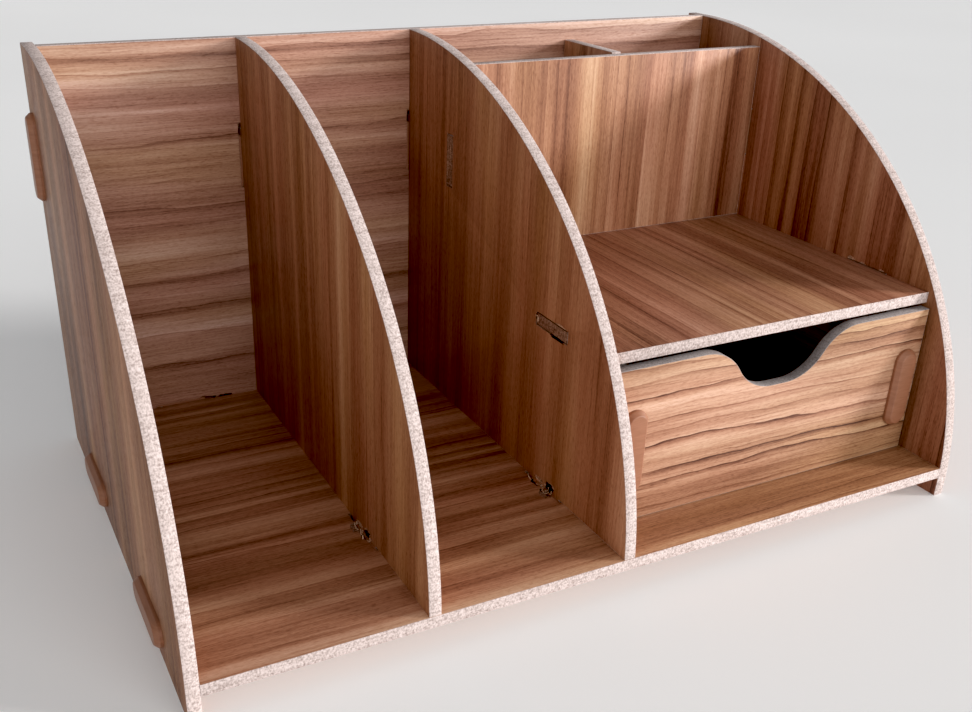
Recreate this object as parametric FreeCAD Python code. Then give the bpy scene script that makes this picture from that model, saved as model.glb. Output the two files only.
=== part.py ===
import FreeCAD, Part
import os

# Desktop file sorter: a knock-down organiser of thin laminated board.
# Tabs on the edges of the boards pass through slots, and plastic clips lock the tabs.
# Millimetres, +X right, -Y front, +Z up. Origin: centre of the footprint, on the floor.

Vector = FreeCAD.Vector

# Whole object and board
WIDTH = 428.0            # over the two side panels, without the clips
DEPTH = 264.0
HEIGHT = 228.0
BOARD = 6.0

# Clear widths of the two file bays; the right bay takes the rest
LEFT_BAY = 101.5
MIDDLE_BAY = 97.0

# Curved front edge of the uprights: a quarter ellipse above a short straight foot
CURVE_DEPTH = 250.0
CURVE_HEIGHT = 221.0

# Boards that lie across
BACK_INSET = 9.0         # rear edge of a side panel to the outside of the back panel
BACK_UNDER = 4.0         # back panel's lower edge above the floor
BASE_TOP = 17.5
SHELF_TOP = 110.5
SHELF_SETBACK = 33.0     # distances back from the front edge of the base
PEN_SETBACK = 191.0
PEN_TOP = 216.5
PEN_DIVIDER_TOP = 217.5

# Tabs and their slots
TAB = 30.0               # tab length under a clip
SLOT = 36.0              # slot length under a clip
SLOT_WIDE = 8.4          # slot width that also takes the clip's two legs
FLUSH_TAB = 28.5         # tab with no clip
FLUSH_SLOT = 29.5
FLUSH_SLOT_WIDE = 7.0

# Places of the tabs
SIDE_BACK_TAB_Z = 172.0
BASE_SIDE_TABS = (60.0, 184.0)       # distances back from the front edge
BASE_BACK_TAB_INSET = 64.0           # in from the outside of each side panel
DIVIDER_BACK_TAB_Z = 164.0
DIVIDER_BASE_TAB = 75.0              # distance back from the front edge
SHELF_SIDE_TAB = 77.75               # distance back from the front edge
PEN_SIDE_TAB_Z = 164.25

# Plastic clip
CAP_LENGTH = 46.0
CAP_WIDE = 14.0
CAP_HIGH = 3.8           # how far the cap stands out of the board
CAP_SLOPE = 2.2          # sloped rim round the flat top
LEG_LENGTH = 22.0
LEG_THICK = 1.1
LEG_DEPTH = 5.8

# Drawer
DRAWER_SETBACK = 28.8
DRAWER_SIDE_GAP = 2.0    # between the drawer front and the uprights
DRAWER_UNDER_GAP = 0.4
DRAWER_TOP = 102.6
DRAWER_DEPTH = 205.2
DRAWER_SIDE_INSET = 8.0  # drawer side in from the end of the drawer front
DRAWER_SIDE_HIGH = 80.0
FLOOR_RAISE = 3.0        # drawer floor above the drawer's lower edge
FLOOR_TABS = (50.0, 143.0)           # distances back from the drawer front's inner face
NOTCH_TOP_HALF = 50.4
NOTCH_FLOOR_HALF = 4.6
NOTCH_DEPTH = 25.2

# Planes worked out from the sizes above
X_LEFT = -WIDTH / 2
X_RIGHT = WIDTH / 2 - BOARD
X_DIVIDER_LEFT = X_LEFT + BOARD + LEFT_BAY
X_DIVIDER_RIGHT = X_DIVIDER_LEFT + BOARD + MIDDLE_BAY
X_BAY = X_DIVIDER_RIGHT + BOARD
X_BAY_MIDDLE = (X_BAY + X_RIGHT) / 2
Y_FRONT = -DEPTH / 2
Y_REAR = DEPTH / 2
Y_BACK_OUT = Y_REAR - BACK_INSET
Y_BACK = Y_BACK_OUT - BOARD
Y_PEN = Y_FRONT + PEN_SETBACK
Z_BASE = BASE_TOP - BOARD
Z_SHELF = SHELF_TOP - BOARD
Y_DRAWER = Y_FRONT + DRAWER_SETBACK
Y_DRAWER_IN = Y_DRAWER + BOARD
Y_DRAWER_END = Y_DRAWER + DRAWER_DEPTH
Y_DRAWER_BACK = Y_DRAWER_END - BOARD
Z_DRAWER = BASE_TOP + DRAWER_UNDER_GAP
X_DRAWER_LEFT = X_BAY + DRAWER_SIDE_GAP
X_DRAWER_RIGHT = X_RIGHT - DRAWER_SIDE_GAP
X_SIDE_LEFT = X_DRAWER_LEFT + DRAWER_SIDE_INSET
X_SIDE_RIGHT = X_DRAWER_RIGHT - DRAWER_SIDE_INSET - BOARD
Z_DRAWER_SIDE_MIDDLE = Z_DRAWER + DRAWER_SIDE_HIGH / 2
Z_DRAWER_FLOOR = Z_DRAWER + FLOOR_RAISE


def block(x, y, z):
    """A box given its (low, high) pair along each axis."""
    size = [high - low for low, high in (x, y, z)]
    return Part.makeBox(*size, Vector(x[0], y[0], z[0]))


def span(middle, length):
    """The (low, high) pair of a stretch about its middle."""
    return (middle - length / 2, middle + length / 2)


def thick(low):
    """The (low, high) pair of one board thickness."""
    return (low, low + BOARD)


def cut(board, holes):
    return board.cut(Part.makeCompound(holes)).removeSplitter()


def join(board, tabs):
    return board.fuse(tabs).removeSplitter()


def curved_upright(x, y_rear, z_low):
    """Board with the quarter-ellipse front edge, from z_low up to the full height."""
    z_spring = HEIGHT - CURVE_HEIGHT
    centre = Vector(x, Y_FRONT + CURVE_DEPTH, z_spring)
    front_end = centre - Vector(0, CURVE_DEPTH, 0)
    top_end = centre + Vector(0, 0, CURVE_HEIGHT)
    ellipse = Part.Ellipse(front_end, top_end, centre)
    disc = Part.Face(Part.Wire([ellipse.toShape()])).extrude(Vector(BOARD, 0, 0))
    above = block(thick(x), (Y_FRONT - 1, centre.y), (z_spring, HEIGHT + 1))
    board = block(thick(x), (Y_FRONT, y_rear), (z_low, HEIGHT))
    return board.cut(above.cut(disc)).removeSplitter()


def base_side_tab_spans():
    return [span(Y_FRONT + place, TAB) for place in BASE_SIDE_TABS]


def side_panel(x):
    """Outer upright, down to the floor, with slots for the back panel and the base."""
    board = curved_upright(x, Y_REAR, 0)
    through = (x - 1, x + BOARD + 1)
    y_back_middle = Y_BACK + BOARD / 2
    holes = [block(through, span(y_back_middle, SLOT_WIDE), span(SIDE_BACK_TAB_Z, SLOT))]
    for place in BASE_SIDE_TABS:
        z_slot = span(Z_BASE + BOARD / 2, SLOT_WIDE)
        holes.append(block(through, span(Y_FRONT + place, SLOT), z_slot))
    return cut(board, holes)


def shelf_and_pen_slots(x):
    """Slots of the flush tabs at one end of the shelf and of the pen front."""
    through = (x - 1, x + BOARD + 1)
    z_shelf_slot = span(Z_SHELF + BOARD / 2, FLUSH_SLOT_WIDE)
    y_pen_slot = span(Y_PEN + BOARD / 2, FLUSH_SLOT_WIDE)
    return [
        block(through, span(Y_FRONT + SHELF_SIDE_TAB, FLUSH_SLOT), z_shelf_slot),
        block(through, y_pen_slot, span(PEN_SIDE_TAB_Z, FLUSH_SLOT)),
    ]


def divider(x):
    """Inner upright standing on the base, with one tab down and one tab back."""
    board = curved_upright(x, Y_BACK, BASE_TOP)
    down = block(thick(x), span(Y_FRONT + DIVIDER_BASE_TAB, TAB), (Z_BASE, BASE_TOP))
    back = block(thick(x), (Y_BACK, Y_BACK_OUT), span(DIVIDER_BACK_TAB_Z, TAB))
    return join(board, [down, back])


def back_panel():
    board = block((X_LEFT + BOARD, X_RIGHT), (Y_BACK, Y_BACK_OUT), (BACK_UNDER, HEIGHT))
    z_tab = span(SIDE_BACK_TAB_Z, TAB)
    tabs = [
        block(thick(X_LEFT), (Y_BACK, Y_BACK_OUT), z_tab),
        block(thick(X_RIGHT), (Y_BACK, Y_BACK_OUT), z_tab),
    ]
    through = (Y_BACK - 1, Y_BACK_OUT + 1)
    holes = []
    for x in (X_DIVIDER_LEFT, X_DIVIDER_RIGHT, X_BAY_MIDDLE - BOARD / 2):
        x_slot = span(x + BOARD / 2, SLOT_WIDE)
        holes.append(block(x_slot, through, span(DIVIDER_BACK_TAB_Z, SLOT)))
    for x in base_back_tabs():
        holes.append(block(span(x, SLOT), through, span(Z_BASE + BOARD / 2, SLOT_WIDE)))
    z_shelf_slot = span(Z_SHELF + BOARD / 2, SLOT_WIDE)
    holes.append(block(span(X_BAY_MIDDLE, SLOT), through, z_shelf_slot))
    return cut(join(board, tabs), holes)


def base_back_tabs():
    """Middles of the two tabs at the rear edge of the base."""
    return (X_LEFT + BASE_BACK_TAB_INSET, X_RIGHT + BOARD - BASE_BACK_TAB_INSET)


def base_board():
    board = block((X_LEFT + BOARD, X_RIGHT), (Y_FRONT, Y_BACK), thick(Z_BASE))
    tabs = []
    for y_tab in base_side_tab_spans():
        tabs.append(block(thick(X_LEFT), y_tab, thick(Z_BASE)))
        tabs.append(block(thick(X_RIGHT), y_tab, thick(Z_BASE)))
    for x in base_back_tabs():
        tabs.append(block(span(x, TAB), (Y_BACK, Y_BACK_OUT), thick(Z_BASE)))
    through = (Z_BASE - 1, BASE_TOP + 1)
    holes = []
    for x in (X_DIVIDER_LEFT, X_DIVIDER_RIGHT):
        y_slot = span(Y_FRONT + DIVIDER_BASE_TAB, SLOT)
        holes.append(block(span(x + BOARD / 2, SLOT_WIDE), y_slot, through))
    return cut(join(board, tabs), holes)


def shelf_board():
    board = block((X_BAY, X_RIGHT), (Y_FRONT + SHELF_SETBACK, Y_BACK), thick(Z_SHELF))
    y_tab = span(Y_FRONT + SHELF_SIDE_TAB, FLUSH_TAB)
    tabs = [
        block(thick(X_DIVIDER_RIGHT), y_tab, thick(Z_SHELF)),
        block(thick(X_RIGHT), y_tab, thick(Z_SHELF)),
        block(span(X_BAY_MIDDLE, TAB), (Y_BACK, Y_BACK_OUT), thick(Z_SHELF)),
    ]
    return join(board, tabs)


def pen_front_panel():
    board = block((X_BAY, X_RIGHT), thick(Y_PEN), (SHELF_TOP, PEN_TOP))
    z_tab = span(PEN_SIDE_TAB_Z, FLUSH_TAB)
    tabs = [
        block(thick(X_DIVIDER_RIGHT), thick(Y_PEN), z_tab),
        block(thick(X_RIGHT), thick(Y_PEN), z_tab),
    ]
    return join(board, tabs)


def pen_divider():
    x = thick(X_BAY_MIDDLE - BOARD / 2)
    board = block(x, (Y_PEN + BOARD, Y_BACK), (SHELF_TOP, PEN_DIVIDER_TOP))
    tab = block(x, (Y_BACK, Y_BACK_OUT), span(DIVIDER_BACK_TAB_Z, TAB))
    return join(board, [tab])


def notch(y):
    """Finger notch cutter: an S-curve down each side of a short flat floor."""
    run = NOTCH_TOP_HALF - NOTCH_FLOOR_HALF
    radius = (run ** 2 + NOTCH_DEPTH ** 2) / (4 * NOTCH_DEPTH)
    half_run = run / 2
    rise = radius - (radius ** 2 - (half_run / 2) ** 2) ** 0.5
    z_floor = DRAWER_TOP - NOTCH_DEPTH

    def point(side, out, z):
        return Vector(X_BAY_MIDDLE + side * out, y, z)

    def curve(side):
        top = point(side, NOTCH_TOP_HALF, DRAWER_TOP)
        shoulder = point(side, NOTCH_TOP_HALF - half_run / 2, DRAWER_TOP - rise)
        middle = point(side, NOTCH_TOP_HALF - half_run, DRAWER_TOP - NOTCH_DEPTH / 2)
        hollow = point(side, NOTCH_FLOOR_HALF + half_run / 2, z_floor + rise)
        floor = point(side, NOTCH_FLOOR_HALF, z_floor)
        return [Part.Arc(top, shoulder, middle), Part.Arc(middle, hollow, floor)]

    left = curve(-1)
    right = curve(1)
    above = DRAWER_TOP + 1
    edges = [arc.toShape() for arc in left + right]
    edges.append(Part.makeLine(point(-1, NOTCH_FLOOR_HALF, z_floor), point(1, NOTCH_FLOOR_HALF, z_floor)))
    corners = [
        point(-1, NOTCH_TOP_HALF, DRAWER_TOP),
        point(-1, NOTCH_TOP_HALF, above),
        point(1, NOTCH_TOP_HALF, above),
        point(1, NOTCH_TOP_HALF, DRAWER_TOP),
    ]
    for start, end in zip(corners, corners[1:]):
        edges.append(Part.makeLine(start, end))
    wire = Part.Wire(Part.__sortEdges__(edges))
    return Part.Face(wire).extrude(Vector(0, BOARD + 2, 0))


def drawer_end_slots(y):
    """Slots for the tabs of both drawer sides through the drawer front or back."""
    through = (y - 1, y + BOARD + 1)
    holes = []
    for x in (X_SIDE_LEFT, X_SIDE_RIGHT):
        x_slot = span(x + BOARD / 2, SLOT_WIDE)
        holes.append(block(x_slot, through, span(Z_DRAWER_SIDE_MIDDLE, SLOT)))
    return holes


def drawer_front():
    board = block((X_DRAWER_LEFT, X_DRAWER_RIGHT), thick(Y_DRAWER), (Z_DRAWER, DRAWER_TOP))
    return cut(board, drawer_end_slots(Y_DRAWER) + [notch(Y_DRAWER - 1)])


def drawer_back():
    z_top = Z_DRAWER + DRAWER_SIDE_HIGH
    board = block((X_DRAWER_LEFT, X_DRAWER_RIGHT), thick(Y_DRAWER_BACK), (Z_DRAWER, z_top))
    return cut(board, drawer_end_slots(Y_DRAWER_BACK))


def drawer_side(x):
    z_side = (Z_DRAWER, Z_DRAWER + DRAWER_SIDE_HIGH)
    board = block(thick(x), (Y_DRAWER_IN, Y_DRAWER_BACK), z_side)
    z_tab = span(Z_DRAWER_SIDE_MIDDLE, TAB)
    tabs = [block(thick(x), thick(y), z_tab) for y in (Y_DRAWER, Y_DRAWER_BACK)]
    through = (x - 1, x + BOARD + 1)
    z_slot = span(Z_DRAWER_FLOOR + BOARD / 2, FLUSH_SLOT_WIDE)
    holes = []
    for place in FLOOR_TABS:
        holes.append(block(through, span(Y_DRAWER_IN + place, FLUSH_SLOT), z_slot))
    return cut(join(board, tabs), holes)


def drawer_floor():
    x = (X_SIDE_LEFT + BOARD, X_SIDE_RIGHT)
    board = block(x, (Y_DRAWER_IN, Y_DRAWER_BACK), thick(Z_DRAWER_FLOOR))
    tabs = []
    for place in FLOOR_TABS:
        y_tab = span(Y_DRAWER_IN + place, FLUSH_TAB)
        tabs.append(block(thick(X_SIDE_LEFT), y_tab, thick(Z_DRAWER_FLOOR)))
        tabs.append(block(thick(X_SIDE_RIGHT), y_tab, thick(Z_DRAWER_FLOOR)))
    return join(board, tabs)


def cap():
    """Pill-shaped cap on z = 0, long along Y, with a sloped rim round its flat top."""
    straight = CAP_LENGTH - CAP_WIDE
    radius = CAP_WIDE / 2
    plate = block((-radius, radius), span(0, straight), (0, CAP_HIGH))
    ends = [
        Part.makeCylinder(radius, CAP_HIGH, Vector(0, side * straight / 2, 0))
        for side in (-1, 1)
    ]
    plate = plate.fuse(ends).removeSplitter()
    rim = [edge for edge in plate.Edges if edge.BoundBox.ZMin > CAP_HIGH - 0.01]
    return plate.makeChamfer(CAP_SLOPE, rim)


def clip(place, outward, along):
    """Clip on the outside of a board at place: a cap, and two legs down the slot beside the tab."""
    leg_middle = (BOARD / 2 + SLOT_WIDE / 2) / 2
    legs = [
        block(span(side * leg_middle, LEG_THICK), span(0, LEG_LENGTH), (-LEG_DEPTH, 0))
        for side in (-1, 1)
    ]
    solid = cap().fuse(legs).removeSplitter()
    turn = FreeCAD.Rotation(along.cross(outward), along, outward, "ZXY")
    solid.Placement = FreeCAD.Placement(place, turn)
    return solid


def clips():
    """Every clip of the fixed frame and of the drawer, by name."""
    up = Vector(0, 0, 1)
    down = Vector(0, 0, -1)
    left = Vector(-1, 0, 0)
    right = Vector(1, 0, 0)
    front = Vector(0, -1, 0)
    rear = Vector(0, 1, 0)
    y_back = Y_BACK + BOARD / 2
    z_base = Z_BASE + BOARD / 2
    base_front, base_rear = [Y_FRONT + place for place in BASE_SIDE_TABS]
    base_back_left, base_back_right = base_back_tabs()
    found = {}
    for name, x, outward in (("left", X_LEFT, left), ("right", X_RIGHT + BOARD, right)):
        found[f"clip_{name}_side_back"] = clip(Vector(x, y_back, SIDE_BACK_TAB_Z), outward, up)
        found[f"clip_{name}_side_base_front"] = clip(Vector(x, base_front, z_base), outward, rear)
        found[f"clip_{name}_side_base_rear"] = clip(Vector(x, base_rear, z_base), outward, rear)
    uprights = (
        ("divider_left", X_DIVIDER_LEFT + BOARD / 2),
        ("divider_right", X_DIVIDER_RIGHT + BOARD / 2),
        ("pen_divider", X_BAY_MIDDLE),
    )
    for name, x in uprights:
        found[f"clip_back_{name}"] = clip(Vector(x, Y_BACK_OUT, DIVIDER_BACK_TAB_Z), rear, up)
    for name, x in uprights[:2]:
        y = Y_FRONT + DIVIDER_BASE_TAB
        found[f"clip_under_{name}"] = clip(Vector(x, y, Z_BASE), down, rear)
    for name, x in (("left", base_back_left), ("right", base_back_right)):
        found[f"clip_back_base_{name}"] = clip(Vector(x, Y_BACK_OUT, z_base), rear, right)
    z_shelf = Z_SHELF + BOARD / 2
    found["clip_back_shelf"] = clip(Vector(X_BAY_MIDDLE, Y_BACK_OUT, z_shelf), rear, right)
    for name, x in (("left", X_SIDE_LEFT + BOARD / 2), ("right", X_SIDE_RIGHT + BOARD / 2)):
        at_front = Vector(x, Y_DRAWER, Z_DRAWER_SIDE_MIDDLE)
        at_back = Vector(x, Y_DRAWER_END, Z_DRAWER_SIDE_MIDDLE)
        found[f"clip_drawer_front_{name}"] = clip(at_front, front, up)
        found[f"clip_drawer_back_{name}"] = clip(at_back, rear, up)
    return found


def right_bay_divider():
    """The divider beside the drawer also holds the shelf and the pen front."""
    return cut(divider(X_DIVIDER_RIGHT), shelf_and_pen_slots(X_DIVIDER_RIGHT))


def right_side_panel():
    return cut(side_panel(X_RIGHT), shelf_and_pen_slots(X_RIGHT))


def parts():
    found = {
        "side_panel_left": side_panel(X_LEFT),
        "divider_left": divider(X_DIVIDER_LEFT),
        "divider_right": right_bay_divider(),
        "side_panel_right": right_side_panel(),
        "back_panel": back_panel(),
        "base_board": base_board(),
        "shelf_board": shelf_board(),
        "pen_front_panel": pen_front_panel(),
        "pen_divider": pen_divider(),
        "drawer_front": drawer_front(),
        "drawer_side_left": drawer_side(X_SIDE_LEFT),
        "drawer_side_right": drawer_side(X_SIDE_RIGHT),
        "drawer_back": drawer_back(),
        "drawer_floor": drawer_floor(),
    }
    found.update(clips())
    return found


def main():
    os.makedirs("parts", exist_ok=True)
    for name, shape in parts().items():
        if not shape.isValid() or len(shape.Solids) != 1:
            raise RuntimeError(f"{name} is not one valid solid")
        shape.Solids[0].exportStep(f"parts/{name}.step")
        print(name, round(shape.Volume / 1000, 2), "cm3")


main()
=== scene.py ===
import math
import random

import bmesh
import bpy
from mathutils import Matrix, Vector


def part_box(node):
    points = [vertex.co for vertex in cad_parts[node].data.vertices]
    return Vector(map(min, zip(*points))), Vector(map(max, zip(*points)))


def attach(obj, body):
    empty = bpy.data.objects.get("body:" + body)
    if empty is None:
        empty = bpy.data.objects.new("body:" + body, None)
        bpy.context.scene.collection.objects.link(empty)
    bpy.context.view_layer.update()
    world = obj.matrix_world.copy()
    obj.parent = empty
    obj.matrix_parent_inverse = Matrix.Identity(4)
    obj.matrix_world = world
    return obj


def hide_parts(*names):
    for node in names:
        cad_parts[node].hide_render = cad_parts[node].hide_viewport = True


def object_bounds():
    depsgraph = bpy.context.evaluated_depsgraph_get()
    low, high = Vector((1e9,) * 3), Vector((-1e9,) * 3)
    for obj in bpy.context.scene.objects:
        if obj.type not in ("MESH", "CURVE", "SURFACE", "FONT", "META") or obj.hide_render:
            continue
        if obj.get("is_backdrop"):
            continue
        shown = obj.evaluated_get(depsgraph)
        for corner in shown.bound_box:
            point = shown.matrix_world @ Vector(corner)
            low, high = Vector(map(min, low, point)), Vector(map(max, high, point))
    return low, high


MM = 0.001
X, Y, Z = 0, 1, 2
RIGHT, REAR, UP = Vector((1, 0, 0)), Vector((0, 1, 0)), Vector((0, 0, 1))
NOISE_ROUGHNESS = 0.55

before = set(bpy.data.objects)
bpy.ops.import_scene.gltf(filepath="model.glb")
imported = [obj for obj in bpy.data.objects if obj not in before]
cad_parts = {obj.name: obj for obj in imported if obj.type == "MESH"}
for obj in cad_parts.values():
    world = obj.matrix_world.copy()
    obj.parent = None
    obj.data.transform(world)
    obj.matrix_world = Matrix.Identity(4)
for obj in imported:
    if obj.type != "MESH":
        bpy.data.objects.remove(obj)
cad_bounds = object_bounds()


def middle(node):
    """Centre of a CAD node's box."""
    low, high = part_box(node)
    return (low + high) / 2


def mesh_data(name, mesh):
    """Mesh data made from a bmesh, which is freed."""
    data = bpy.data.meshes.new(name)
    mesh.to_mesh(data)
    mesh.free()
    return data


def add_object(name, data):
    """An object in the scene that shows a mesh, or is a lamp or a camera."""
    thing = bpy.data.objects.new(name, data)
    bpy.context.scene.collection.objects.link(thing)
    return thing


# ---------------------------------------------------------------- node helpers

def add(tree, kind, *values, **settings):
    """Add a shader node, fill its inputs in order, and return it."""
    node = tree.nodes.new("ShaderNode" + kind)
    for name, value in settings.items():
        setattr(node, name, value)
    for socket, value in zip(node.inputs, values):
        fill(tree, socket, value)
    return node


def fill(tree, socket, value):
    """Link a socket to another one, or set its value."""
    if isinstance(value, bpy.types.NodeSocket):
        tree.links.new(value, socket)
    else:
        socket.default_value = value


def calc(tree, operation, *values, clamp=False):
    """One arithmetic step on numbers."""
    return add(tree, "Math", *values, operation=operation, use_clamp=clamp).outputs[0]


def millimetres(tree):
    """Object coordinates in millimetres."""
    place = add(tree, "TexCoord").outputs["Object"]
    return add(tree, "VectorMath", place, (1 / MM,) * 3, operation="MULTIPLY").outputs[0]


def noise(tree, vector, along, across, detail, offset):
    """Noise from 0 to 1 with features about along x across in size; offset picks another part of it."""
    shift = add(tree, "VectorMath", vector, (offset, offset * 1.7, offset * 0.6), operation="ADD")
    scale = (1 / along, 1 / across, 1.0)
    scaled = add(tree, "VectorMath", shift.outputs[0], scale, operation="MULTIPLY")
    found = add(tree, "TexNoise", noise_dimensions="3D")
    fill(tree, found.inputs["Vector"], scaled.outputs[0])
    found.inputs["Scale"].default_value = 1.0
    found.inputs["Detail"].default_value = detail
    found.inputs["Roughness"].default_value = NOISE_ROUGHNESS
    return found.outputs["Fac"]


def ramp(tree, factor, stops):
    """Colour ramp from (position, colour) stops."""
    node = add(tree, "ValToRGB", factor)
    elements = node.color_ramp.elements
    while len(elements) < len(stops):
        elements.new(0.5)
    for element, (position, colour) in zip(elements, stops):
        element.position = position
        element.color = (*colour, 1)
    return node.outputs["Color"]


def new_material(name):
    """A material with its node tree and its shader."""
    material = bpy.data.materials.new(name)
    material.use_nodes = True
    tree = material.node_tree
    return material, tree, tree.nodes["Principled BSDF"]


def add_bump(tree, shader, height, strength, distance, invert=False):
    """Raise the surface where height is high, or sink it when inverted."""
    bump = tree.nodes.new("ShaderNodeBump")
    bump.invert = invert
    bump.inputs["Strength"].default_value = strength
    bump.inputs["Distance"].default_value = distance
    fill(tree, bump.inputs["Height"], height)
    fill(tree, shader.inputs["Normal"], bump.outputs["Normal"])


# ---------------------------------------------------------------- wood print

# Wood colours by tone, from the darkest line to the palest fibre
WOOD_TONES = (
    (0.00, (0.070, 0.020, 0.009)),
    (0.20, (0.165, 0.060, 0.030)),
    (0.42, (0.310, 0.140, 0.078)),
    (0.62, (0.450, 0.232, 0.138)),
    (0.82, (0.585, 0.350, 0.228)),
    (1.00, (0.700, 0.465, 0.335)),
)

# Slow change of hue over a board, from redder to yellower
WOOD_HUES = (
    (0.35, (1.0, 0.94, 0.97)),
    (0.50, (1.0, 1.0, 1.0)),
    (0.65, (1.0, 1.02, 0.91)),
)

# Noises of the print: feature length along the grain and width across it in mm, detail, offset
GRAIN = {
    "wave": (230, 46, 1.5, 11),
    "ripple": (40, 9, 2, 37),
    "line_breaks": (90, 8, 3, 71),
    "thin_line_breaks": (70, 12, 2, 29),
    "stripe": (320, 5.5, 1, 43),
    "stripe_area": (160, 34, 1, 47),
    "band": (700, 17, 1, 5),
    "pore": (4.0, 0.50, 1, 17),
    "streak": (46, 0.75, 1, 93),
    "patch": (200, 60, 1, 23),
    "fibre": (60, 1.2, 1, 51),
    "stipple": (2.0, 0.7, 1, 61),
    "hue": (240, 30, 1, 81),
}

# Noise values between which the patchy features fade in
FADE_IN = {
    "line_breaks": (0.36, 0.56),
    "thin_line_breaks": (0.46, 0.62),
    "stripe_area": (0.36, 0.62),
    "pore": (0.56, 0.66),
    "streak": (0.54, 0.66),
}

# Strength of the ripples, the shading of a ring, the thin lines, the stripes and the bands
RIPPLE = 0.24
RING_SHADE = 0.55
THIN_LINE = 0.55
STRIPE = 0.75
BAND = 1.15
# How much the tone changes for each feature; the negative ones darken it
PATCH, FIBRE, STIPPLE = 0.45, 0.30, 0.20
LINE, STREAK, PORE = -0.34, -0.09, -0.12

THIN_LINES_PER_RING = 3.3
# How deep a line is, where a pore is 1
LINE_DEPTH = 0.3

# Darkness by distance in mm from the end of a ring: a crisp line
LINE_SHAPE = (0.0, 0.3), (0.14, 1.0), (0.42, 0.45), (0.90, 0.0)
# Darkness by place in a ring, from its start to its end
RING_SHAPE = (0.0, 0.0), (0.45, 0.08), (0.92, 1.0), (1.0, 0.5)
# Strength of a ring by its random number
RING_STRENGTH = (0.1, 0.12), (0.9, 1.0)


def wood_group():
    """Printed walnut grain. Its vector is in millimetres: X along the grain, Y across it."""
    tree = bpy.data.node_groups.new("walnut_print", "ShaderNodeTree")
    face = tree.interface
    face.new_socket("Vector", in_out="INPUT", socket_type="NodeSocketVector")
    face.new_socket("Tint", in_out="INPUT", socket_type="NodeSocketVector")
    for name in ("Figure", "Spacing", "Lines", "Bands", "Tone"):
        face.new_socket(name, in_out="INPUT", socket_type="NodeSocketFloat")
    face.new_socket("Color", in_out="OUTPUT", socket_type="NodeSocketColor")
    face.new_socket("Pores", in_out="OUTPUT", socket_type="NodeSocketFloat")
    inputs = tree.nodes.new("NodeGroupInput").outputs
    result = tree.nodes.new("NodeGroupOutput")
    vector = inputs["Vector"]
    across = add(tree, "SeparateXYZ", vector).outputs["Y"]

    def centred(feature):
        """A feature's noise, moved to lie about zero."""
        return calc(tree, "SUBTRACT", noise(tree, vector, *GRAIN[feature]), 0.5)

    def grey(factor, stops):
        """Grey ramp from (position, value) stops."""
        return ramp(tree, factor, [(position, (value,) * 3) for position, value in stops])

    def patchy(feature):
        """A feature that is 1 in some places and 0 in others."""
        low, high = FADE_IN[feature]
        return grey(noise(tree, vector, *GRAIN[feature]), ((low, 0), (high, 1)))

    def product(*parts):
        """All the parts multiplied together."""
        total = parts[0]
        for part in parts[1:]:
            total = calc(tree, "MULTIPLY", total, part)
        return total

    def ring_lines(phase, spacing):
        """Place in the ring, the dark line at its end, and the ring's own strength."""
        place = calc(tree, "FRACT", phase)
        gap = calc(tree, "MULTIPLY", calc(tree, "SUBTRACT", 1.0, place), spacing)
        strength = add(tree, "TexWhiteNoise", noise_dimensions="1D")
        fill(tree, strength.inputs["W"], calc(tree, "FLOOR", phase))
        return place, grey(gap, LINE_SHAPE), grey(strength.outputs["Value"], RING_STRENGTH)

    # Growth rings run across the board, and slow noise bends them into waves
    bend = product(centred("wave"), inputs["Figure"])
    ripple = product(centred("ripple"), inputs["Figure"], RIPPLE)
    phase = calc(tree, "DIVIDE", across, inputs["Spacing"])
    phase = calc(tree, "ADD", calc(tree, "ADD", phase, bend), ripple)
    place, line, strength = ring_lines(phase, inputs["Spacing"])
    shade = product(grey(place, RING_SHAPE), strength, RING_SHADE)
    dark = calc(tree, "MULTIPLY_ADD", product(line, strength), patchy("line_breaks"), shade)

    # Thinner lines lie between them
    finer = calc(tree, "MULTIPLY", phase, THIN_LINES_PER_RING)
    finer_spacing = calc(tree, "DIVIDE", inputs["Spacing"], THIN_LINES_PER_RING)
    _, line, strength = ring_lines(finer, finer_spacing)
    thin = product(line, strength, patchy("thin_line_breaks"), THIN_LINE)
    lines = product(calc(tree, "ADD", dark, thin), inputs["Lines"])

    stripes = product(centred("stripe"), patchy("stripe_area"), STRIPE)
    bands = calc(tree, "MULTIPLY_ADD", centred("band"), BAND, stripes)
    tone = calc(tree, "MULTIPLY_ADD", bands, inputs["Bands"], inputs["Tone"])
    pores = patchy("pore")
    weights = (
        (centred("patch"), PATCH), (centred("fibre"), FIBRE), (centred("stipple"), STIPPLE),
        (lines, LINE), (patchy("streak"), STREAK), (pores, PORE),
    )
    for part, weight in weights:
        tone = calc(tree, "MULTIPLY_ADD", part, weight, tone)
    colour = ramp(tree, tone, WOOD_TONES)
    hue = ramp(tree, noise(tree, vector, *GRAIN["hue"]), WOOD_HUES)
    tinted = add(tree, "VectorMath", colour, hue, operation="MULTIPLY").outputs[0]
    tinted = add(tree, "VectorMath", tinted, inputs["Tint"], operation="MULTIPLY").outputs[0]
    fill(tree, result.inputs["Color"], tinted)
    fill(tree, result.inputs["Pores"], calc(tree, "MULTIPLY_ADD", lines, LINE_DEPTH, pores, clamp=True))
    return tree


WOOD = wood_group()

# Step from one board's print to the next: along the grain, across it and through the board
PRINT_STEP = 613, 229, 7.3
# How fast the print changes through the board, which gives its two faces their own grain
PRINT_DEPTH = 0.35
# Roughness of the laminate, what a pore adds to it, and the strength and depth of the pores' relief
LAMINATE_ROUGHNESS, PORE_ROUGHNESS = 0.45, 0.14
PORE_RELIEF = 0.35, 0.05 * MM


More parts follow.
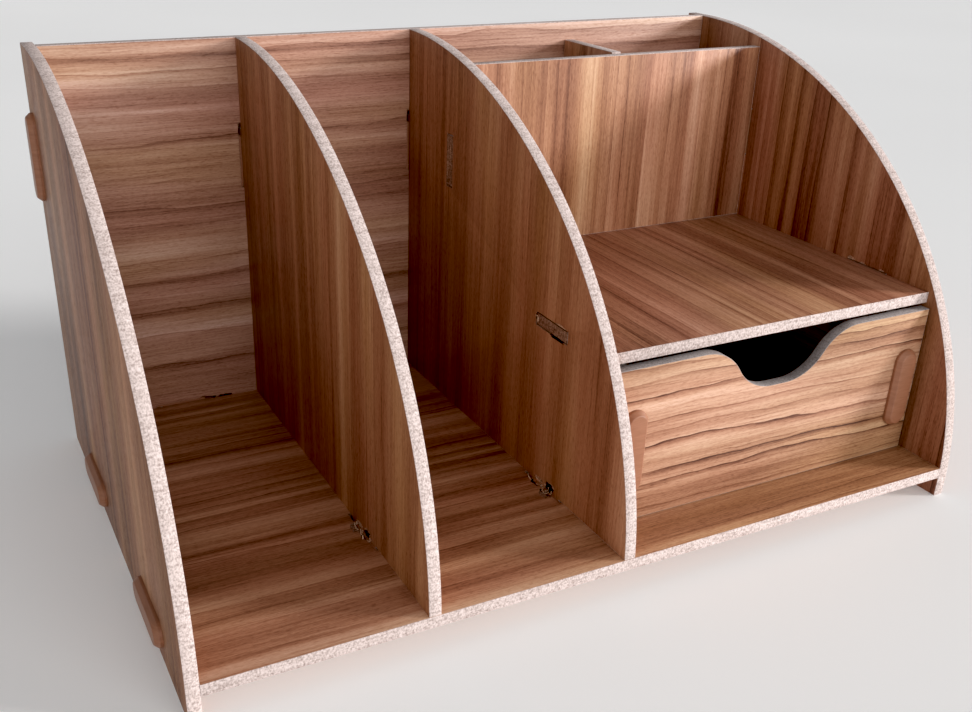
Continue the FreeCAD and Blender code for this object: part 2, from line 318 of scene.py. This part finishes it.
def laminate(name, grain, cross, seed, painted_light_slope, **look):
    """Satin printed laminate, with grain and cross the axes along and across the grain.

    The slope of the tone is how much it rises for each metre along the cross axis: painted light and shade,
    lighter where more light falls on the board.
    """
    material, tree, shader = new_material(name)
    place = add(tree, "TexCoord").outputs["Object"]
    parts = add(tree, "SeparateXYZ", place).outputs
    depth = ({X, Y, Z} - {grain, cross}).pop()
    turned = add(tree, "CombineXYZ", parts[grain], parts[cross], parts[depth]).outputs[0]
    scale = (1 / MM, 1 / MM, PRINT_DEPTH / MM)
    scaled = add(tree, "VectorMath", turned, scale, operation="MULTIPLY").outputs[0]
    step = tuple(seed * part for part in PRINT_STEP)
    shifted = add(tree, "VectorMath", scaled, step, operation="ADD").outputs[0]
    print_node = tree.nodes.new("ShaderNodeGroup")
    print_node.node_tree = WOOD
    # Painted light and shade: the tone rises steadily along the cross axis
    tone = calc(tree, "MULTIPLY_ADD", parts[cross], painted_light_slope, look.pop("Tone"))
    for socket, value in {"Vector": shifted, "Tone": tone, **look}.items():
        fill(tree, print_node.inputs[socket], value)
    fill(tree, shader.inputs["Base Color"], print_node.outputs["Color"])
    pores = print_node.outputs["Pores"]
    roughness = calc(tree, "MULTIPLY_ADD", pores, PORE_ROUGHNESS, LAMINATE_ROUGHNESS)
    fill(tree, shader.inputs["Roughness"], roughness)
    shader.inputs["Specular IOR Level"].default_value = 0.34
    add_bump(tree, shader, pores, *PORE_RELIEF, invert=True)
    return material


# ---------------------------------------------------------------- edges and plastic

# Noises that make a cut edge's speckle: size in mm, offset, weight
SPECKLES = (26, 3, 0.28), (1.8, 7, 0.28), (0.75, 13, 0.72)
# Speckle values at which a cut edge has its four tones
EDGE_STOPS = 0.20, 0.38, 0.55, 0.80
# Strength and depth of the relief of a cut edge and of the clips' plastic
EDGE_RELIEF = 0.4, 0.1 * MM
PLASTIC_RELIEF = 0.12, 0.05 * MM

# Tones of the clips' plastic by its cloudy noise, its roughness, and what the noise adds to that
PLASTIC_TONES = (0.3, (0.288, 0.119, 0.062)), (0.7, (0.360, 0.157, 0.087))
PLASTIC_ROUGHNESS, CLOUD_ROUGHNESS = 0.36, 0.16
# Size in mm of the clouds and of the orange peel
CLOUD_SIZE, PEEL_SIZE = 9, 0.9


def raw_edge(name, tones):
    """Cut edge of fibreboard: matt and finely speckled, its tones from the darkest fibre to the palest."""
    material, tree, shader = new_material(name)
    place = millimetres(tree)
    speckle = 0.5
    for size, offset, weight in SPECKLES:
        part = calc(tree, "SUBTRACT", noise(tree, place, size, size, 1, offset), 0.5)
        speckle = calc(tree, "MULTIPLY_ADD", part, weight, speckle)
    fill(tree, shader.inputs["Base Color"], ramp(tree, speckle, tuple(zip(EDGE_STOPS, tones))))
    shader.inputs["Roughness"].default_value = 0.92
    shader.inputs["Specular IOR Level"].default_value = 0.15
    add_bump(tree, shader, speckle, *EDGE_RELIEF)
    return material


def clip_plastic():
    """Satin moulded plastic, terracotta brown, with a faint orange-peel surface."""
    material, tree, shader = new_material("clip_plastic")
    place = millimetres(tree)
    cloud = noise(tree, place, CLOUD_SIZE, CLOUD_SIZE, 3, 31)
    fill(tree, shader.inputs["Base Color"], ramp(tree, cloud, PLASTIC_TONES))
    roughness = calc(tree, "MULTIPLY_ADD", cloud, CLOUD_ROUGHNESS, PLASTIC_ROUGHNESS)
    fill(tree, shader.inputs["Roughness"], roughness)
    peel = noise(tree, place, PEEL_SIZE, PEEL_SIZE, 1, 41)
    add_bump(tree, shader, peel, *PLASTIC_RELIEF)
    return material


EDGE = raw_edge("raw_fibreboard_edge", (
    (0.244, 0.184, 0.166), (0.443, 0.353, 0.325), (0.645, 0.539, 0.508), (0.817, 0.706, 0.680),
))
# Darker tones than the raw edge for the drawer front's cut edges: painted shade, as the shelf shades the
# drawer's top edge
SHADED_DRAWER_EDGE = raw_edge("drawer_edge_painted_shade", (
    (0.150, 0.125, 0.120), (0.264, 0.228, 0.220), (0.346, 0.310, 0.302), (0.418, 0.380, 0.374),
))
# Brown fibreboard for chips where the laminate is rubbed off, which is wear, and for slot walls and flush
# tab ends; in the slots its darkness is painted shade
WORN_AND_SHADED_EDGE = raw_edge("worn_and_shaded_fibreboard_edge", (
    (0.065, 0.028, 0.015), (0.165, 0.082, 0.050), (0.285, 0.160, 0.105), (0.480, 0.340, 0.265),
))
PAPER = raw_edge("torn_paper", (
    (0.200, 0.100, 0.060), (0.400, 0.235, 0.150), (0.620, 0.410, 0.285), (0.800, 0.600, 0.460),
))
# Near-black fibreboard for the deep chip pits: painted shade inside the holes
PAINTED_PIT_SHADE = raw_edge("pit_painted_shade", (
    (0.008, 0.004, 0.003), (0.022, 0.011, 0.007), (0.050, 0.026, 0.017), (0.150, 0.085, 0.060),
))
PLASTIC = clip_plastic()

# A board's material slots, in the order in which dress_board fills them; the slot walls' brown is partly
# painted shade, and the pits' near-black is painted shade
PRINTED, CUT, RUBBED_AND_SHADED, TORN, PIT = range(5)


# ---------------------------------------------------------------- boards

SAME_POINT = 0.001 * MM
ARRIS = 0.25 * MM
# A loop of walls that is no longer than this is a slot; a longer one is the board's outline
LONGEST_SLOT = 45 * MM
# Angles in degrees: facets that meet at less than the first are joined, edges above the second get an arris
FLAT_ANGLE = 0.4
CUT_ANGLE = 40
# Edges sharper than this many degrees stay crisp in the shading
CRISP_BOARD = 25
CRISP_CLIP = 14
# Faces whose normal has more than this along the thickness axis are the board's two broad sides
BROAD_SIDE = 0.98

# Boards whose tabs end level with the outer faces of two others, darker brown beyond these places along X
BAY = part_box("divider_right")[0].x + MM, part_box("side_panel_right")[1].x - MM
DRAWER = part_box("drawer_side_left")[0].x + MM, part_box("drawer_side_right")[1].x - MM
FLUSH_TABS = {"shelf_board": BAY, "pen_front_panel": BAY, "drawer_floor": DRAWER}


def board_mesh(node):
    """The board's own solid with joined flats and a slight arris on every cut edge."""
    mesh = bmesh.new()
    mesh.from_mesh(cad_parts[node].data)
    bmesh.ops.remove_doubles(mesh, verts=mesh.verts, dist=SAME_POINT)
    flat = math.radians(FLAT_ANGLE)
    bmesh.ops.dissolve_limit(mesh, angle_limit=flat, verts=mesh.verts, edges=mesh.edges)
    sharp = [e for e in mesh.edges if e.is_manifold and e.calc_face_angle() > math.radians(CUT_ANGLE)]
    bmesh.ops.bevel(
        mesh, geom=sharp, offset=ARRIS, offset_type="OFFSET", segments=2, profile=0.5,
        affect="EDGES", clamp_overlap=True,
    )
    return mesh


def wall_loops(mesh, depth):
    """Groups of joined faces that cross the board's thickness: its outline, and one group for each slot."""
    walls = {face for face in mesh.faces if abs(face.normal[depth]) <= BROAD_SIDE}
    while walls:
        group = []
        queue = [walls.pop()]
        while queue:
            face = queue.pop()
            group.append(face)
            near = {other for edge in face.edges for other in edge.link_faces} & walls
            walls -= near
            queue.extend(near)
        yield group


def settle_normals(data, degrees):
    """Drop the imported normals, and keep edges sharper than an angle crisp."""
    imported = data.attributes.get("custom_normal")
    if imported:
        data.attributes.remove(imported)
    data.set_sharp_from_angle(angle=math.radians(degrees))


def pick_materials(mesh, node, depth):
    """Pick each face's material: print, raw edge on the outline, darker brown in slots as painted shade,
    and on flush tabs.
    """
    for face in mesh.faces:
        face.material_index = PRINTED
    for group in wall_loops(mesh, depth):
        corners = [vert.co for face in group for vert in face.verts]
        reach = max(max(c[axis] for c in corners) - min(c[axis] for c in corners) for axis in (X, Y, Z))
        for face in group:
            face.material_index = CUT if reach > LONGEST_SLOT else RUBBED_AND_SHADED
            if node in FLUSH_TABS:
                low, high = FLUSH_TABS[node]
                if not low < face.calc_center_median().x < high:
                    face.material_index = RUBBED_AND_SHADED


def dress_board(node, body, face_material, depth):
    """Replace a board with its finished piece; depth is the axis through its thickness."""
    mesh = board_mesh(node)
    pick_materials(mesh, node, depth)
    data = mesh_data(node + "_finished", mesh)
    # The drawer front gets the darker edge, which is painted shade from the shelf above it
    edge = SHADED_DRAWER_EDGE if node == "drawer_front" else EDGE
    for material in (face_material, edge, WORN_AND_SHADED_EDGE, PAPER, PAINTED_PIT_SHADE):
        data.materials.append(material)
    if node in CHIPS:
        data = chip(data, CHIPS[node], random.Random(len(node)))
        data.name = node + "_finished"
    settle_normals(data, CRISP_BOARD)
    piece = add_object(node + "_finished", data)
    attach(piece, body)
    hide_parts(node)


# The wood group's settings, in the order in which BOARDS gives them after the slope of painted light and
# shade
LOOK = "Figure", "Spacing", "Lines", "Bands", "Tone", "Tint"

# node, body, axis through the board, axis along the grain, slope of painted light and shade in the tone
# (dividers and base lighter to the front, shelf to the right, back panel to the top), then the settings in
# LOOK
BOARDS = (
    ("side_panel_left", "frame", X, Z, 0.0, 0.8, 12.0, 0.5, 0.7, 0.46, (1.00, 0.97, 0.84)),
    ("divider_left", "frame", X, Z, -0.3, 0.7, 9.0, 0.6, 0.7, 0.61, (1.00, 0.94, 0.84)),
    ("divider_right", "frame", X, Z, -0.4, 0.6, 10.0, 0.5, 0.6, 0.51, (1.00, 0.94, 0.84)),
    ("side_panel_right", "frame", X, Z, 0.0, 0.7, 12.5, 1.3, 0.9, 0.53, (1.00, 0.90, 0.87)),
    # The back panel's bluer tint is a painted sheen
    ("back_panel", "frame", Y, X, 1.3, 2.4, 9.0, 0.9, 1.0, 0.455, (1.00, 1.05, 1.22)),
    ("base_board", "frame", Z, X, -0.5, 2.4, 9.0, 1.0, 0.9, 0.55, (1.00, 0.98, 0.94)),
    ("shelf_board", "frame", Z, Y, 1.2, 1.2, 7.0, 1.0, 0.8, 0.43, (1.00, 0.93, 0.93)),
    ("pen_front_panel", "frame", Y, Z, 0.0, 0.9, 8.0, 0.8, 1.2, 0.61, (1.00, 0.94, 0.88)),
    ("pen_divider", "frame", X, Z, 0.0, 0.9, 9.0, 0.7, 1.0, 0.56, (1.00, 0.97, 0.94)),
    ("drawer_front", "drawer", Y, X, 0.0, 3.4, 6.5, 2.1, 0.6, 0.71, (1.00, 1.04, 1.04)),
    ("drawer_side_left", "drawer", X, Y, 0.0, 1.6, 9.0, 0.9, 0.9, 0.57, (1.00, 0.98, 0.96)),
    ("drawer_side_right", "drawer", X, Y, 0.0, 1.6, 9.0, 0.9, 0.9, 0.57, (1.00, 0.98, 0.96)),
    ("drawer_back", "drawer", Y, X, 0.0, 2.6, 9.0, 0.9, 0.9, 0.57, (1.00, 0.98, 0.96)),
    ("drawer_floor", "drawer", Z, X, 0.0, 2.6, 9.0, 0.9, 0.9, 0.55, (1.00, 0.98, 0.96)),
)


def make_boards():
    """Every board, each with its own part of the print."""
    for seed, (node, body, depth, grain, painted_light_slope, *values) in enumerate(BOARDS, start=1):
        cross = ({X, Y, Z} - {depth, grain}).pop()
        look = dict(zip(LOOK, values))
        dress_board(node, body, laminate("laminate_" + node, grain, cross, seed, painted_light_slope, **look), depth)


# ---------------------------------------------------------------- chipped laminate

# About how far the middle of the shelf's side tabs lies behind its front edge
TAB_BEHIND_EDGE = 45 * MM

# Faces, and middles of tabs, around which the boards are chipped
BASE_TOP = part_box("base_board")[1].z
BACK_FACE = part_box("back_panel")[0].y
SHELF_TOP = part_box("shelf_board")[1].z
SHELF_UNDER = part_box("shelf_board")[0].z
PANEL_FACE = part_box("side_panel_right")[0].x
LEFT_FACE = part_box("divider_left")[0].x
RIGHT_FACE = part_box("divider_right")[0].x
PEN_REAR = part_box("pen_front_panel")[1].y
BASE_TAB = middle("clip_under_divider_right").y
BACK_TAB = middle("clip_back_divider_right").z
SLOT_IN_BACK = middle("clip_back_base_left").x
SHELF_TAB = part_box("shelf_board")[0].y + TAB_BEHIND_EDGE


def chip_at(x, y, z, direction, outward, length, width, depth, slot):
    """One chip: its centre, long direction, outward direction, length, width, depth and material slot.

    The length, width and depth are given in mm.
    """
    return Vector((x, y, z)), direction, outward, length * MM, width * MM, depth * MM, slot


def chip_spots():
    """Where each board's laminate is chipped or torn."""

    def base(face, x, y, *size):
        """On the base's top, at a distance in mm from a divider's face and from the middle of its tab."""
        return chip_at(face + x * MM, BASE_TAB + y * MM, BASE_TOP, REAR, UP, *size)

    def back(x, z, direction, *size):
        """On the back panel's inner face."""
        return chip_at(x, BACK_FACE, z, direction, -REAR, *size)

    def side(face, y, z, direction, *size):
        """On a face that looks towards -X."""
        return chip_at(face, y, z, direction, -RIGHT, *size)

    return {
        "base_board": (
            base(LEFT_FACE, -1.4, -4, 9, 4.0, 3.5, PIT),
            base(LEFT_FACE, -2.2, 4, 12, 7.0, 0.5, RUBBED_AND_SHADED),
            base(LEFT_FACE, -0.8, 6, 9, 2.8, 2.5, PIT),
            base(RIGHT_FACE, -1.6, -5, 10, 5.0, 4.0, PIT),
            base(RIGHT_FACE, -2.6, -6, 12, 8.5, 0.5, RUBBED_AND_SHADED),
            base(RIGHT_FACE, -1.7, 6, 9, 5.0, 1.2, PIT),
        ),
        "back_panel": (
            back(SLOT_IN_BACK + 11 * MM, BASE_TOP + 0.6 * MM, RIGHT, 11, 3.4, 2.0, RUBBED_AND_SHADED),
            back(SLOT_IN_BACK + 23 * MM, BASE_TOP + 0.2 * MM, RIGHT, 12, 2.6, 1.5, PIT),
            back(LEFT_FACE - 0.6 * MM, BACK_TAB + 13 * MM, UP, 10, 2.6, 2.0, PIT),
            back(RIGHT_FACE - 0.6 * MM, BACK_TAB + 12 * MM, UP, 11, 2.4, 2.0, PIT),
        ),
        "divider_left": (
            side(LEFT_FACE, BASE_TAB - 4 * MM, BASE_TOP + 0.8 * MM, REAR, 9, 4.4, 1.0, PIT),
            side(LEFT_FACE, BASE_TAB - 5 * MM, BASE_TOP + 2.6 * MM, REAR, 10, 3.4, 0.5, TORN),
            side(LEFT_FACE, BASE_TAB + 5 * MM, BASE_TOP + 1.4 * MM, REAR, 10, 3.4, 0.5, TORN),
        ),
        "side_panel_right": (
            side(PANEL_FACE, SHELF_TAB + 12 * MM, SHELF_TOP + 1.2 * MM, REAR, 8, 3.0, 0.4, TORN),
            side(PANEL_FACE, SHELF_TAB + 3 * MM, SHELF_TOP + 0.8 * MM, REAR, 6, 2.0, 0.4, TORN),
            side(PANEL_FACE, SHELF_TAB - 11 * MM, SHELF_TOP + 0.8 * MM, REAR, 5, 2.0, 0.4, TORN),
        ),
        "divider_right": (
            side(RIGHT_FACE, BASE_TAB - 5 * MM, BASE_TOP + 1.8 * MM, REAR, 9, 7.0, 1.6, PIT),
            side(RIGHT_FACE, BASE_TAB - 7 * MM, BASE_TOP + 3.6 * MM, REAR, 8, 5.0, 0.5, TORN),
            side(RIGHT_FACE, BASE_TAB + 5 * MM, BASE_TOP + 1.6 * MM, REAR, 11, 3.6, 0.6, TORN),
            side(RIGHT_FACE, SHELF_TAB - 5 * MM, SHELF_UNDER - 0.9 * MM, REAR, 19, 1.9, 3.0, PIT),
            side(RIGHT_FACE, SHELF_TAB + 14 * MM, SHELF_TOP - 2 * MM, UP, 6, 2.6, 1.2, PIT),
            side(RIGHT_FACE, SHELF_TAB - 8 * MM, SHELF_TOP + 0.7 * MM, REAR, 12, 2.0, 0.3, TORN),
        ),
        "pen_front_panel": (
            side(RIGHT_FACE, PEN_REAR - 0.8 * MM, BACK_TAB + 0.25 * MM, UP, 26, 1.0, 0.3, TORN),
            side(RIGHT_FACE, PEN_REAR - 3.6 * MM, BACK_TAB + 4.25 * MM, UP, 17, 0.9, 0.3, TORN),
        ),
    }


# Corners of a chip's outline, and the least parts of its full reach and depth at a corner
CHIP_CORNERS = 22
LEAST_REACH = 0.55
LEAST_DEPTH = 0.7


def pocket(spot, draw):
    """Closed jagged solid that cuts one chip; its faces carry the chip's material slot."""
    centre, along, outward, length, width, depth, slot = spot
    across = outward.cross(along)
    low, high = [], []
    mesh = bmesh.new()
    for step in range(CHIP_CORNERS):
        angle = 2 * math.pi * step / CHIP_CORNERS
        reach = draw.uniform(LEAST_REACH, 1.0)
        offset = along * math.cos(angle) * length + across * math.sin(angle) * width
        edge = centre + offset * reach / 2
        low.append(mesh.verts.new(edge - outward * depth * draw.uniform(LEAST_DEPTH, 1.0)))
        high.append(mesh.verts.new(edge + outward * MM))
    floor = mesh.verts.new(centre - outward * depth)
    lid = mesh.verts.new(centre + outward * MM)
    for i in range(CHIP_CORNERS):
        j = (i + 1) % CHIP_CORNERS
        wall = low[i], low[j], high[j], high[i]
        for corners in (wall, (low[j], low[i], floor), (high[i], high[j], lid)):
            mesh.faces.new(corners).material_index = slot
    bmesh.ops.recalc_face_normals(mesh, faces=mesh.faces)
    return mesh_data("pocket", mesh)


def chip(data, spots, draw):
    """Cut jagged pockets into a board's mesh, one after another, and return the cut mesh."""
    board = add_object("board", data)
    cutters = []
    for spot in spots:
        cutter = add_object("cutter", pocket(spot, draw))
        for material in data.materials:
            cutter.data.materials.append(material)
        cutters.append(cutter)
        cut = board.modifiers.new("chip", "BOOLEAN")
        cut.operation = "DIFFERENCE"
        cut.solver = "EXACT"
        cut.material_mode = "TRANSFER"
        cut.object = cutter
    graph = bpy.context.evaluated_depsgraph_get()
    result = bpy.data.meshes.new_from_object(board.evaluated_get(graph), depsgraph=graph)
    for thing in (board, *cutters):
        bpy.data.objects.remove(thing)
    return result


# Beside each divider: its face, how many slivers, and their rearmost place in mm from the middle of its tab
FLAKED = (LEFT_FACE, 10, 9), (RIGHT_FACE, 9, 10)
# Their foremost place, in mm from the middle of the tab
FLAKED_FRONT = -9
# Ranges of a sliver's distance from the divider, length and width in mm, and heading and curl in radians
DISTANCES, LENGTHS, WIDTHS = (0.7, 3.2), (2.5, 6.0), (0.6, 1.3)
HEADINGS, CURLS = (-2.6, 2.6), (0.9, 2.2)
# The sliver beside the shelf: its direction, the way it curls, its length and width in mm, its curl
SHELF_SLIVER = Vector((0, -0.5, 0.87)), Vector((0, 0.87, 0.5)), 5.0, 1.0, 2.8
# A sliver's heading is shrunk to this much across the base, so that most slivers lie along the slot
HEADING_ACROSS = 0.35
SLIVER_STEPS = 7
SLIVER_THICK = 0.28 * MM
# Part of its width that a sliver has lost at its tip
SLIVER_TAPER = 0.75


def make_flakes():
    """Slivers of torn laminate that curl up beside the dividers' slots."""
    draw = random.Random(8)
    mesh = bmesh.new()
    places = []
    for face, count, rear in FLAKED:
        for _ in range(count):
            away, place = draw.uniform(*DISTANCES), draw.uniform(FLAKED_FRONT, rear)
            start = Vector((face - away * MM, BASE_TAB + place * MM, BASE_TOP - 0.2 * MM))
            places.append((start, draw.uniform(*HEADINGS), draw.uniform(*LENGTHS), draw.uniform(*WIDTHS)))
    # One more stands near the rear end of the shelf's slot in the right divider
    beside_shelf = Vector((RIGHT_FACE - 0.3 * MM, SHELF_TAB + 12.5 * MM, SHELF_TOP - 4 * MM))
    sliver(mesh, beside_shelf, *SHELF_SLIVER)
    for start, heading, length, width in places:
        along = Vector((math.cos(heading) * HEADING_ACROSS, math.sin(heading), 0)).normalized()
        sliver(mesh, start, along, UP, length, width, draw.uniform(*CURLS))
    data = mesh_data("torn_slivers", mesh)
    data.materials.append(PAPER)
    piece = add_object("torn_slivers", data)
    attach(piece, "frame")


def sliver(mesh, start, along, up, length, width, curl):
    """Add a thin tapered strip that leaves start along a direction and curls towards up.

    The length and width are in mm, and the curl is the angle it turns through, in radians.
    """
    side = along.cross(up)
    radius = length * MM / curl
    sections = []
    for step in range(SLIVER_STEPS + 1):
        angle = curl * step / SLIVER_STEPS
        centre = start + along * radius * math.sin(angle) + up * radius * (1 - math.cos(angle))
        normal = up * math.cos(angle) - along * math.sin(angle)
        lift = normal * SLIVER_THICK / 2
        reach = side * (width * MM / 2 * (1 - SLIVER_TAPER * step / SLIVER_STEPS))
        corners = (reach + lift, lift - reach, -reach - lift, reach - lift)
        sections.append([mesh.verts.new(centre + corner) for corner in corners])
    for lower, upper in zip(sections, sections[1:]):
        for i in range(4):
            j = (i + 1) % 4
            mesh.faces.new((lower[i], upper[i], upper[j], lower[j]))
    mesh.faces.new(sections[0])
    mesh.faces.new(reversed(sections[-1]))


# ---------------------------------------------------------------- clips

CAP_LENGTH = 46 * MM
CAP_WIDE = 14 * MM
CAP_HIGH = 3.8 * MM
CAP_END_STEPS = 22
# The upright part of the cap's rim, the width of its slope, and the softening of its corners
RIM = 1.6 * MM
SLOPE = 2.2 * MM
SOFT = 0.35 * MM
LEG_SIZE = Vector((1.1, 28.8, 5.8)) * MM
LEG_MIDDLE = Vector((3.6, -3.4, -2.9)) * MM
LEG_ARRIS = 0.2 * MM

# The clips' names begin with the side of the object that they face
CLIP_FACING = {
    "clip_left_side": -RIGHT,
    "clip_right_side": RIGHT,
    "clip_back": REAR,
    "clip_under": -UP,
    "clip_drawer_front": -REAR,
    "clip_drawer_back": REAR,
}


def pill(inset, height):
    """Points of a stadium outline drawn in from the cap's rim."""
    radius = CAP_WIDE / 2 - inset
    centre = (CAP_LENGTH - CAP_WIDE) / 2
    points = []
    for end in (1, -1):
        for step in range(CAP_END_STEPS + 1):
            angle = math.pi * step / CAP_END_STEPS
            x = end * radius * math.cos(angle)
            y = end * (centre + radius * math.sin(angle))
            points.append(Vector((x, y, height)))
    return points


def cap_profile():
    """(inset, height) pairs from the board up over the rim and its slope to the flat top."""
    return (
        (0, 0), (0, RIM - SOFT), (SOFT * 0.4, RIM), (SLOPE - SOFT, CAP_HIGH - SOFT * 0.6),
        (SLOPE, CAP_HIGH - SOFT * 0.15), (SLOPE + SOFT, CAP_HIGH),
    )


def clip_mesh():
    """Cap and two legs; the cap faces +Z and is long along Y."""
    mesh = bmesh.new()
    rings = [[mesh.verts.new(p) for p in pill(inset, height)] for inset, height in cap_profile()]
    count = len(rings[0])
    for lower, upper in zip(rings, rings[1:]):
        for i in range(count):
            j = (i + 1) % count
            mesh.faces.new((lower[i], lower[j], upper[j], upper[i]))
    mesh.faces.new(rings[-1])
    mesh.faces.new(reversed(rings[0]))
    for side in (-1, 1):
        centre = Vector((side * LEG_MIDDLE.x, LEG_MIDDLE.y, LEG_MIDDLE.z))
        shape = Matrix.Translation(centre) @ Matrix.Diagonal((*LEG_SIZE, 1))
        made = bmesh.ops.create_cube(mesh, size=1, matrix=shape)
        edges = list({edge for vert in made["verts"] for edge in vert.link_edges})
        bmesh.ops.bevel(mesh, geom=edges, offset=LEG_ARRIS, segments=2, affect="EDGES")
    for face in mesh.faces:
        face.smooth = True
    return mesh


def place_clip(node):
    """Turn a clip so that it faces outward and lies along its slot, then seat it."""
    low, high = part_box(node)
    size = high - low
    outward = next(way for start, way in CLIP_FACING.items() if node.startswith(start))
    along = Vector((0, 0, 0))
    along[max((X, Y, Z), key=lambda axis: size[axis])] = 1
    seat = middle(node) + outward * (abs(size.dot(outward)) / 2 - CAP_HIGH)
    turn = Matrix((along.cross(outward), along, outward)).transposed().to_4x4()
    mesh = clip_mesh()
    mesh.transform(Matrix.Translation(seat) @ turn)
    data = mesh_data(node + "_moulded", mesh)
    data.materials.append(PLASTIC)
    settle_normals(data, CRISP_CLIP)
    piece = add_object(node + "_moulded", data)
    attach(piece, "drawer" if node.startswith("clip_drawer") else "frame")
    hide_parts(node)


def make_clips():
    for node in sorted(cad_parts):
        if node.startswith("clip_"):
            place_clip(node)


# ---------------------------------------------------------------- studio

WHITE = (1.0, 1.0, 1.0, 1)

# Half the floor's width and the size of its faint clouds, both in metres
FLOOR_REACH = 6
FLOOR_CLOUD = 0.6
FLOOR_TONES = (0.3, (0.86,) * 3), (0.7, (0.90,) * 3)
FLOOR_GLOW = 0.12

# The world's light and the backdrop that the camera sees: colour, strength
WORLD_LIGHT = (0.97, 0.98, 1.0, 1), 0.28
BACKDROP = WHITE, 0.80

# Lamps: name, azimuth, elevation and spread in degrees, strength, colour
LAMPS = (
    ("key", 63, 13, 13, 1.08, (1.0, 0.985, 0.97)),
    ("front", 10, 18, 54, 0.49, (1.0, 0.99, 0.98)),
    ("left", -46, 18, 50, 0.09, (1.0, 0.98, 0.96)),
)

# The camera's place in metres, its direction, roll in degrees, lens in mm and shift
CAMERA_PLACE = Vector((-0.2747, -0.4729, 0.3140))
CAMERA_FORWARD = Vector((0.4074, 0.8026, -0.4358))
CAMERA_ROLL = 1.32
CAMERA_LENS = 40.0
CAMERA_SHIFT = 0.0422, 0.0316
# Values below this come out black
BLACK_LEVEL = 0.011


def make_floor():
    """Wide pale floor that glows a little, so that it stays pale away from the lamps."""
    mesh = bmesh.new()
    bmesh.ops.create_grid(mesh, x_segments=1, y_segments=1, size=FLOOR_REACH)
    data = mesh_data("floor", mesh)
    material, tree, shader = new_material("pale_floor")
    place = add(tree, "TexCoord").outputs["Object"]
    cloud = noise(tree, place, FLOOR_CLOUD, FLOOR_CLOUD, 2, 1)
    fill(tree, shader.inputs["Base Color"], ramp(tree, cloud, FLOOR_TONES))
    shader.inputs["Roughness"].default_value = 0.8
    shader.inputs["Emission Color"].default_value = WHITE
    shader.inputs["Emission Strength"].default_value = FLOOR_GLOW
    data.materials.append(material)
    floor = add_object("floor", data)
    floor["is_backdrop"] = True


def aim(thing, place, target, roll=0.0):
    """Put a lamp or camera at place, looking at target and rolled by an angle in radians."""
    look = (target - place).to_track_quat("-Z", "Y").to_matrix()
    turn = look @ Matrix.Rotation(roll, 3, "Z")
    thing.matrix_world = Matrix.Translation(place) @ turn.to_4x4()


def softbox(name, azimuth, elevation, spread, strength, colour):
    """Even soft light from a direction: azimuth runs from the front towards +X. Angles are in degrees."""
    data = bpy.data.lights.new(name, "SUN")
    data.angle = math.radians(spread)
    data.energy = strength * math.pi
    data.color = colour
    lamp = add_object(name, data)
    around, up = math.radians(azimuth), math.radians(elevation)
    level = math.cos(up)
    place = Vector((math.sin(around) * level, -math.cos(around) * level, math.sin(up)))
    aim(lamp, place, Vector((0, 0, 0)))


def make_lights():
    for lamp in LAMPS:
        softbox(*lamp)


def make_world():
    """Dim even light, seen by the camera as a pale backdrop."""
    world = bpy.data.worlds.new("studio")
    bpy.context.scene.world = world
    world.use_nodes = True
    tree = world.node_tree
    tree.nodes.clear()
    seen = add(tree, "LightPath").outputs["Is Camera Ray"]
    light = add(tree, "Background", *WORLD_LIGHT)
    backdrop = add(tree, "Background", *BACKDROP)
    mixed = add(tree, "MixShader", seen, light.outputs[0], backdrop.outputs[0])
    output = tree.nodes.new("ShaderNodeOutputWorld")
    tree.links.new(mixed.outputs[0], output.inputs["Surface"])


def set_film():
    """Plain colours with slightly crushed shadows, as a phone camera records them."""
    settings = bpy.context.scene.view_settings
    settings.view_transform = "Standard"
    settings.use_curve_mapping = True
    settings.curve_mapping.black_level = (BLACK_LEVEL,) * 3
    settings.curve_mapping.update()


def make_camera():
    data = bpy.data.cameras.new("camera")
    data.sensor_width = 36
    data.lens = CAMERA_LENS
    data.shift_x, data.shift_y = CAMERA_SHIFT
    data.clip_start = 0.01
    camera = add_object("camera", data)
    aim(camera, CAMERA_PLACE, CAMERA_PLACE + CAMERA_FORWARD, roll=math.radians(CAMERA_ROLL))
    bpy.context.scene.camera = camera


CHIPS = chip_spots()
make_boards()
make_flakes()
make_clips()
make_floor()
make_lights()
make_world()
make_camera()
set_film()

sizes = {"cad": cad_bounds, "visual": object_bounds()}
{name: [list(corner) for corner in box] for name, box in sizes.items()}
